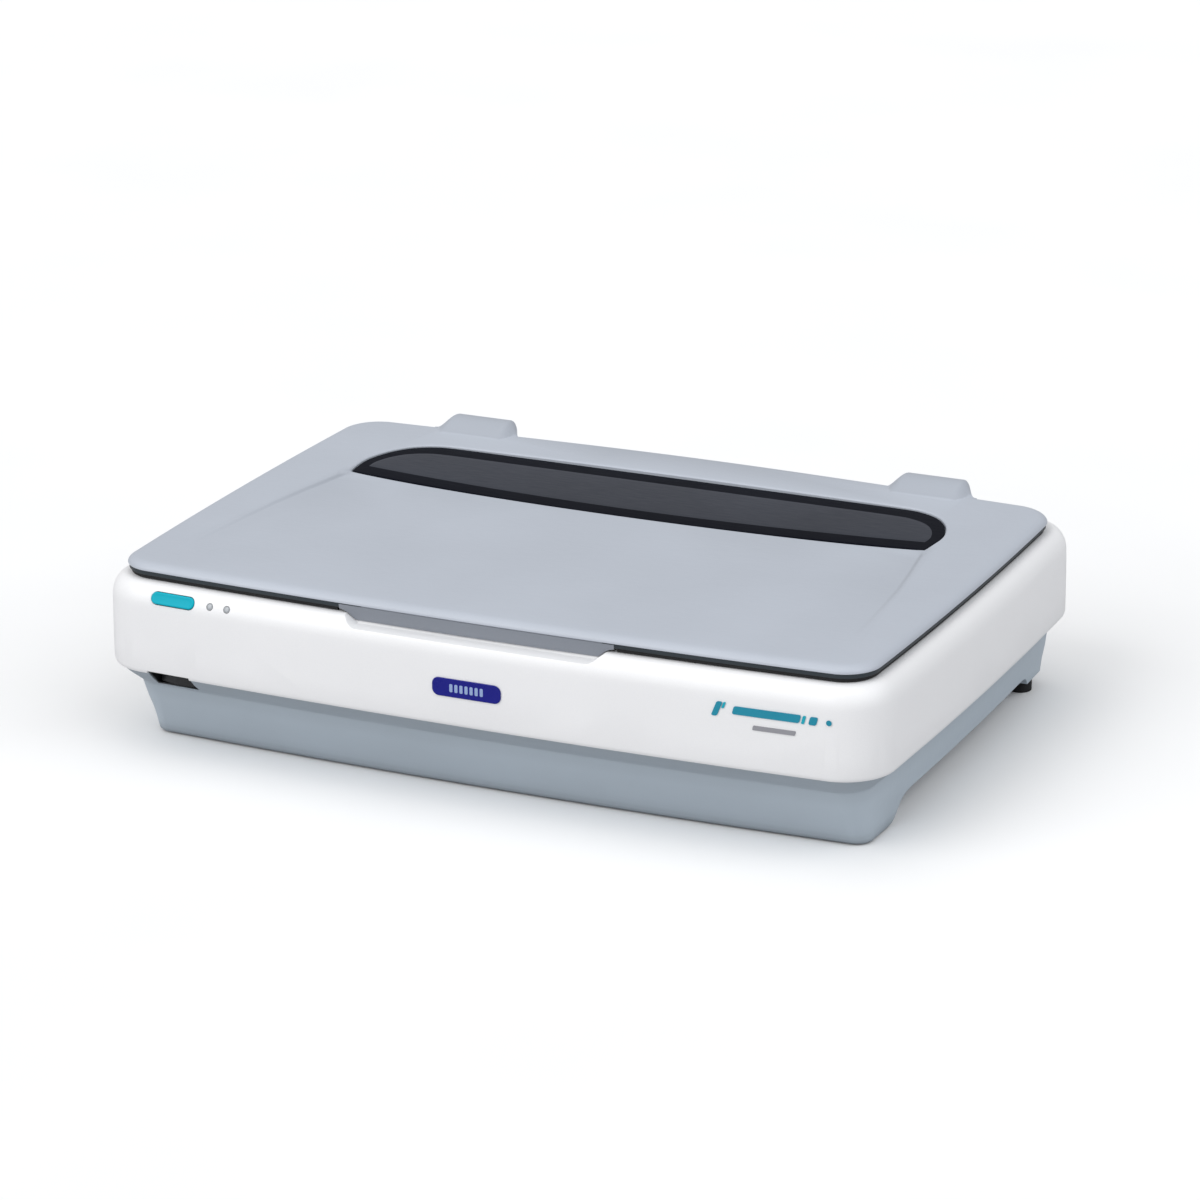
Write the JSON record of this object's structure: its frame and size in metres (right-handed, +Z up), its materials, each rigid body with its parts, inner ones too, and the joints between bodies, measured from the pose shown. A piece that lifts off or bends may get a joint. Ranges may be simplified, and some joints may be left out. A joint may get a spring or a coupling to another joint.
{
  "type": "flatbed scanner",
  "caption": "Large-format flatbed document scanner with a book-lift hinged lid, a glass bed, and a belt-driven lamp and mirror carriage on a guide rod.",
  "frame": {"origin": "centre of the body's footprint on the table plane, under the feet", "axes": "+X to the right and +Y to the back as seen from the front panel, +Z up"},
  "size_m": [0.656, 0.4589, 0.1596],
  "materials": {
    "base_shell": "fine moulded texture, cool mid grey",
    "housing_shell": "fine moulded texture, off-white",
    "lid_shell": "fine moulded texture, light cool grey",
    "lid_window": "smooth smoke-grey inlay",
    "rubber_foot": "matt black",
    "light_lens": "frosted lens",
    "circuit_board": "solder mask",
    "badge": "glossy navy blue",
    "accent": "satin teal",
    "black_plastic": "moulded black",
    "switch_plastic": "moulded black",
    "hinge_plastic": "moulded black, glass filled",
    "white_plastic": "moulded white",
    "white_film": "matt white film",
    "scale_strip": "printed scale strip",
    "document_mat": "white foam-backed sheet",
    "platen_glass": "clear float glass",
    "lamp_glass": "white phosphor tube",
    "mirror": "front-silvered",
    "reflector": "bright folded sheet",
    "steel": "ground steel",
    "zinc_steel": "zinc plated sheet",
    "brass": "sintered",
    "belt": "toothed neoprene belt"
  },
  "bodies": {
    "housing": {"base_tray": "base_shell", "foot_front_left": "rubber_foot", "foot_front_right": "rubber_foot", "foot_rear_left": "rubber_foot", "foot_rear_right": "rubber_foot", "upper_housing": "housing_shell", "ready_light_lens": "light_lens", "error_light_lens": "light_lens", "control_board": "circuit_board", "front_badge": "badge", "accent_stripe": "accent", "power_switch_bezel": "black_plastic", "platen_glass": "platen_glass", "calibration_strip": "white_film", "front_scale_strip": "scale_strip", "left_scale_strip": "scale_strip", "guide_rod": "steel", "rod_bracket_left": "black_plastic", "rod_bracket_right": "black_plastic", "rear_slide_rail": "zinc_steel", "drive_motor": "zinc_steel", "idler_bracket": "zinc_steel", "timing_belt": "belt", "belt_tension_spring": "steel", "main_board": "circuit_board", "power_supply_board": "circuit_board", "interface_board": "circuit_board", "connector_plate": "zinc_steel", "scsi_port": "black_plastic", "usb_port": "steel", "ac_inlet": "black_plastic", "left_hinge_socket": "black_plastic", "right_hinge_socket": "black_plastic"},
    "hinge_posts": {"left_hinge_post": "hinge_plastic", "right_hinge_post": "hinge_plastic"},
    "lid": {"left_hinge_pin": "steel", "left_hinge_bracket": "zinc_steel", "right_hinge_pin": "steel", "right_hinge_bracket": "zinc_steel", "lid_shell": "lid_shell", "lid_window": "lid_window", "lid_inner_panel": "white_plastic", "document_mat": "document_mat"},
    "carriage": {"carriage_frame": "black_plastic", "front_bush_left": "brass", "front_bush_right": "brass", "rear_slider": "white_plastic", "belt_clamp": "black_plastic", "carriage_cover": "black_plastic", "lamp_reflector": "reflector", "lamp_tube": "lamp_glass", "lower_mirror": "mirror", "upper_mirror": "mirror", "lens_barrel": "black_plastic", "sensor_board": "circuit_board"},
    "drive_pulley": {"drive_pulley": "brass"},
    "idler_pulley": {"idler_pulley": "brass"},
    "start_button": {"start_button": "accent"},
    "power_rocker": {"power_rocker": "switch_plastic"},
    "transport_lock": {"transport_lock": "switch_plastic"}
  },
  "joints": [
    {"name": "book_lift", "type": "slide", "parent": "housing", "child": "hinge_posts", "axis": [0, 0, 1], "range_m": [0, 0.025]},
    {"name": "lid_hinge", "type": "hinge", "parent": "hinge_posts", "child": "lid", "pos_m": [0, 0.215, 0.147], "axis": [-1, 0, 0], "range_deg": [0, 85]},
    {"name": "carriage_slide", "type": "slide", "parent": "housing", "child": "carriage", "axis": [1, 0, 0], "range_m": [0, 0.456]},
    {"name": "drive_pulley_spin", "type": "hinge", "parent": "housing", "child": "drive_pulley", "pos_m": [0.258, -0.12, 0.055], "axis": [0, 0, 1], "continuous": true},
    {"name": "idler_pulley_spin", "type": "hinge", "parent": "housing", "child": "idler_pulley", "pos_m": [-0.276, -0.12, 0.055], "axis": [0, 0, 1], "continuous": true},
    {"name": "start_button_press", "type": "slide", "parent": "housing", "child": "start_button", "axis": [0.0409, 0.9108, -0.4109], "range_m": [0, 0.0015]},
    {"name": "power_rocker_tilt", "type": "hinge", "parent": "housing", "child": "power_rocker", "pos_m": [-0.26, -0.204, 0.0608], "axis": [0, 0, 1], "range_deg": [0, 14]},
    {"name": "transport_lock_turn", "type": "hinge", "parent": "housing", "child": "transport_lock", "pos_m": [-0.272, -0.04, 0.0194], "axis": [0, 0, 1], "range_deg": [0, 90]}
  ],
  "couplings": [
    {"joint": "drive_pulley_spin", "follows": "carriage_slide", "rad_per_m": 119.76},
    {"joint": "idler_pulley_spin", "follows": "carriage_slide", "rad_per_m": 119.76}
  ]
}
